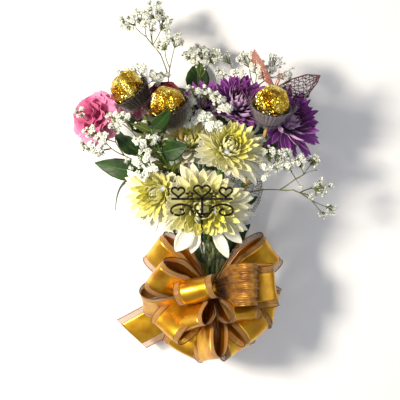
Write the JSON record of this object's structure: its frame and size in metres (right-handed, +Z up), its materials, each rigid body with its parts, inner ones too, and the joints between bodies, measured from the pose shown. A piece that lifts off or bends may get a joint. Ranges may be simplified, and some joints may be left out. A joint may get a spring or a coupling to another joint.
{
  "type": "flower bouquet",
  "caption": "Hand-tied bouquet of chrysanthemums, carnations, a rose, baby's breath and leaves, with foil-wrapped chocolates, a paper butterfly and a gold pull bow, lying down.",
  "frame": {"origin": "On the surface under the bouquet, below the middle of its bounding box.", "axes": "+Z points up from the surface to the front of the bouquet, +Y from the cut stems to the flowers, and +X to the right as the bouquet is seen from its front."},
  "size_m": [0.2394, 0.3332, 0.1439],
  "materials": {
    "cream_petal": "satin",
    "purple_petal": "satin",
    "pink_petal": "satin",
    "red_petal": "satin",
    "flower_stem": "satin",
    "babys_breath": "matt",
    "leaf": "satin",
    "gold_foil": "crumpled, bright",
    "brown_paper": "matt",
    "clear_plastic": "gloss",
    "stick_wood": "plain",
    "crystal": "cut and polished",
    "black_board": "gloss",
    "copper_paper": "pearl",
    "clear_film": "gloss, with a lace print",
    "gold_ribbon": "metallic"
  },
  "bodies": {
    "root": {"babys_breath_back_left": "babys_breath", "babys_breath_centre": "babys_breath", "babys_breath_front_left": "babys_breath", "babys_breath_left": "babys_breath", "babys_breath_right_low": "babys_breath", "babys_breath_right_middle": "babys_breath", "babys_breath_top": "babys_breath", "babys_breath_top_left": "babys_breath", "babys_breath_upper_right": "babys_breath", "bloom_carnation_back": "pink_petal", "bloom_carnation_left": "pink_petal", "bloom_cream_back": "cream_petal", "bloom_cream_front": "cream_petal", "bloom_cream_left": "cream_petal", "bloom_cream_right": "cream_petal", "bloom_purple_middle": "purple_petal", "bloom_purple_right": "purple_petal", "bloom_purple_upper": "purple_petal", "bloom_red_rose": "red_petal", "bow": "gold_ribbon", "bow_band": "gold_ribbon", "bow_tail": "gold_ribbon", "butterfly": "copper_paper", "clear_cup_left": "clear_plastic", "clear_cup_middle": "clear_plastic", "clear_cup_right": "clear_plastic", "crystal_pin_1": "crystal", "crystal_pin_2": "crystal", "crystal_pin_3": "crystal", "crystal_pin_4": "crystal", "crystal_pin_5": "crystal", "foil_ball_left": "gold_foil", "foil_ball_middle": "gold_foil", "foil_ball_right": "gold_foil", "leaves_back": "leaf", "leaves_back_left": "leaf", "leaves_back_right": "leaf", "leaves_centre": "leaf", "leaves_left": "leaf", "ornament_pick": "black_board", "paper_cup_left": "brown_paper", "paper_cup_middle": "brown_paper", "paper_cup_right": "brown_paper", "sleeve": "clear_film", "stem_carnation_back": "flower_stem", "stem_carnation_left": "flower_stem", "stem_cream_back": "flower_stem", "stem_cream_front": "flower_stem", "stem_cream_left": "flower_stem", "stem_cream_right": "flower_stem", "stem_purple_middle": "flower_stem", "stem_purple_right": "flower_stem", "stem_purple_upper": "flower_stem", "stem_red_rose": "flower_stem", "stick_left": "stick_wood", "stick_middle": "stick_wood", "stick_right": "stick_wood"}
  },
  "joints": []
}
